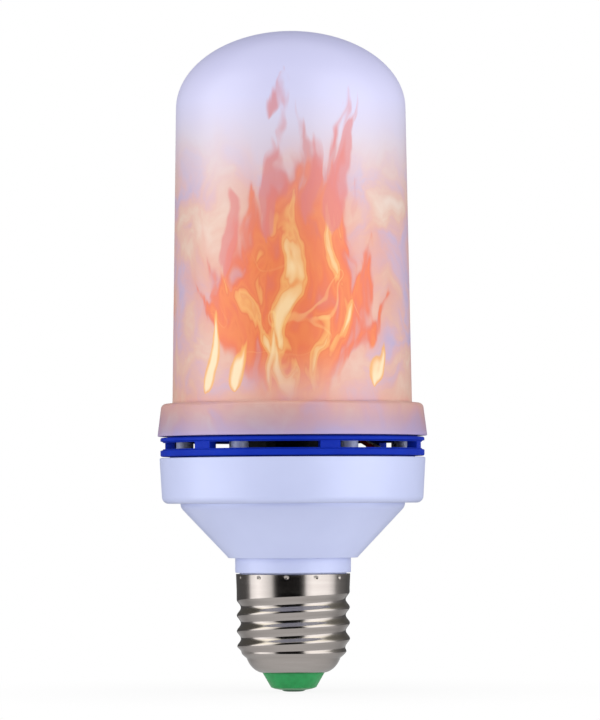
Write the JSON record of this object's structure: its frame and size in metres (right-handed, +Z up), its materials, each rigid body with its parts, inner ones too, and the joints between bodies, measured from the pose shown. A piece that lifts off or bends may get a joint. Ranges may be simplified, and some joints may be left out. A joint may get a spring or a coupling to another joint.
{
  "type": "flame effect led bulb",
  "caption": "Flame effect lamp with a tall milky diffuser, a blue slotted cooling ring, a white tapered housing and a nickel-plated Edison screw cap.",
  "frame": {"origin": "bottom centre of the centre contact, on the lamp's axis", "axes": "+Z up the lamp's axis, from the screw cap to the dome; -Y is the front in the picture, +X its right"},
  "size_m": [0.0628, 0.0628, 0.1536],
  "materials": {
    "opal_plastic": "milky translucent moulding, satin",
    "blue_plastic": "moulded, glossy",
    "white_plastic": "moulded, satin",
    "nickel_plate": "bright nickel plate on rolled sheet",
    "green_resin": "moulded, satin",
    "contact_metal": "tarnished plate",
    "core_plastic": "moulded, matt",
    "screw_steel": "zinc plated",
    "flexible_board": "solder mask",
    "board_laminate": "glass laminate",
    "can_sleeve": "shrunk sleeve",
    "ferrite": "sintered",
    "copper_wire": "enamelled wire",
    "resistor_coat": "lacquer",
    "chip_resin": "moulded",
    "red_insulation": "extruded",
    "pale_insulation": "extruded"
  },
  "bodies": {
    "root": {"diffuser": "opal_plastic", "vent_ring": "blue_plastic", "housing": "white_plastic", "screw_cap": "nickel_plate", "insulator": "green_resin", "centre_contact": "contact_metal", "led_core": "core_plastic", "fixing_screw_1": "screw_steel", "fixing_screw_2": "screw_steel", "fixing_screw_3": "screw_steel", "led_sheet": "flexible_board", "top_led_board": "flexible_board", "driver_board": "board_laminate", "input_capacitor": "can_sleeve", "output_capacitor": "can_sleeve", "choke_core": "ferrite", "choke_winding": "copper_wire", "fuse_resistor": "resistor_coat", "bridge_rectifier": "chip_resin", "driver_chip": "chip_resin", "flame_chip": "chip_resin", "live_wire": "red_insulation", "neutral_wire": "pale_insulation", "led_wire_positive": "red_insulation", "led_wire_negative": "pale_insulation"}
  },
  "joints": []
}
